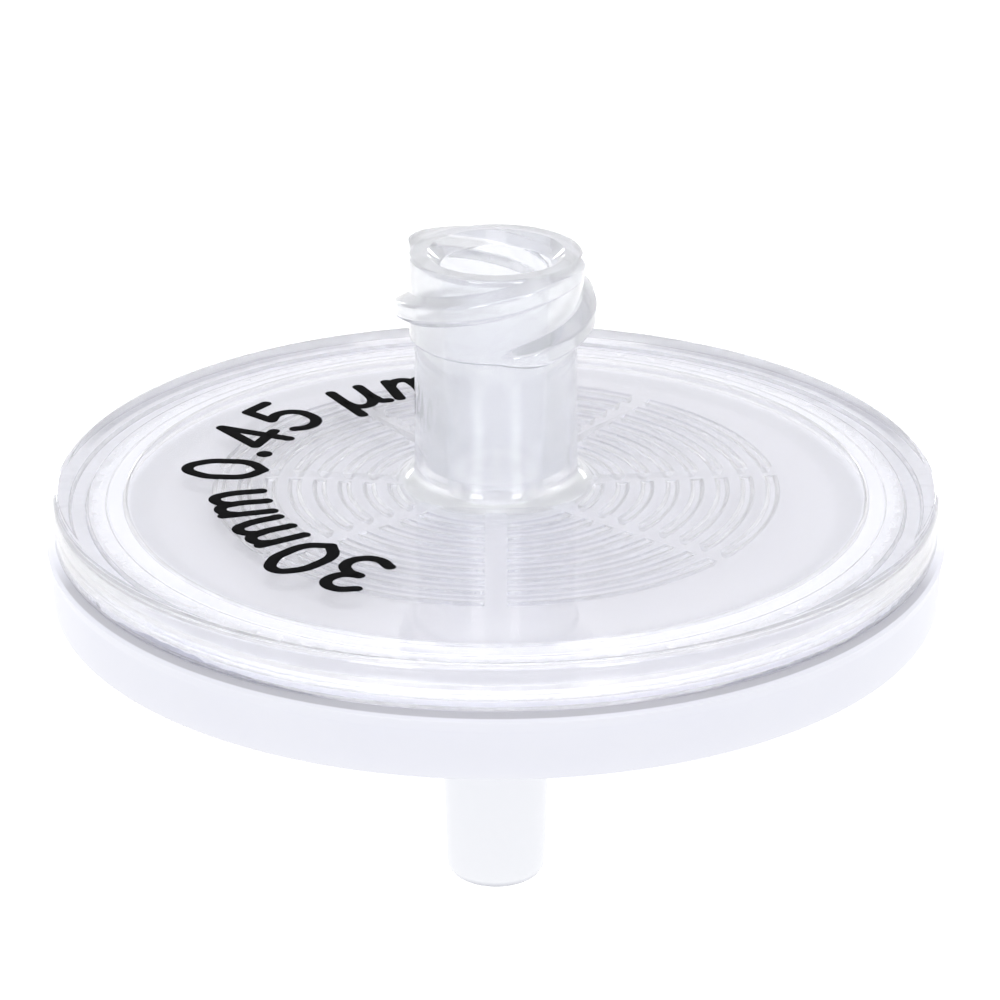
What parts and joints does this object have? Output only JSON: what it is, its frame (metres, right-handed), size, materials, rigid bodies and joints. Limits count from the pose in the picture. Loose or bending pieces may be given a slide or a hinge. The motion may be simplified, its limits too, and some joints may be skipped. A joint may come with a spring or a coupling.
{
  "type": "syringe filter",
  "caption": "Round disposable syringe filter: clear inlet shell with a female lock hub, milky outlet shell with a slip nozzle, and a filter membrane welded between them.",
  "frame": {"origin": "centre of the nozzle tip, the lowest point of the object", "axes": "+Z along the common axis of hub, disc and nozzle, towards the inlet hub; the radial channels lie along X, Y and their diagonals"},
  "size_m": [0.035, 0.035, 0.0267],
  "materials": {
    "clear_plastic": "clear moulded plastic, polished, faintly blue-white",
    "milky_plastic": "natural polypropylene, milky and translucent, semi-gloss",
    "membrane": "fine matt white polymer membrane",
    "ink": "black pad-printed ink"
  },
  "bodies": {
    "root": {"inlet_shell": "clear_plastic", "membrane": "membrane", "outlet_shell": "milky_plastic"}
  },
  "joints": []
}
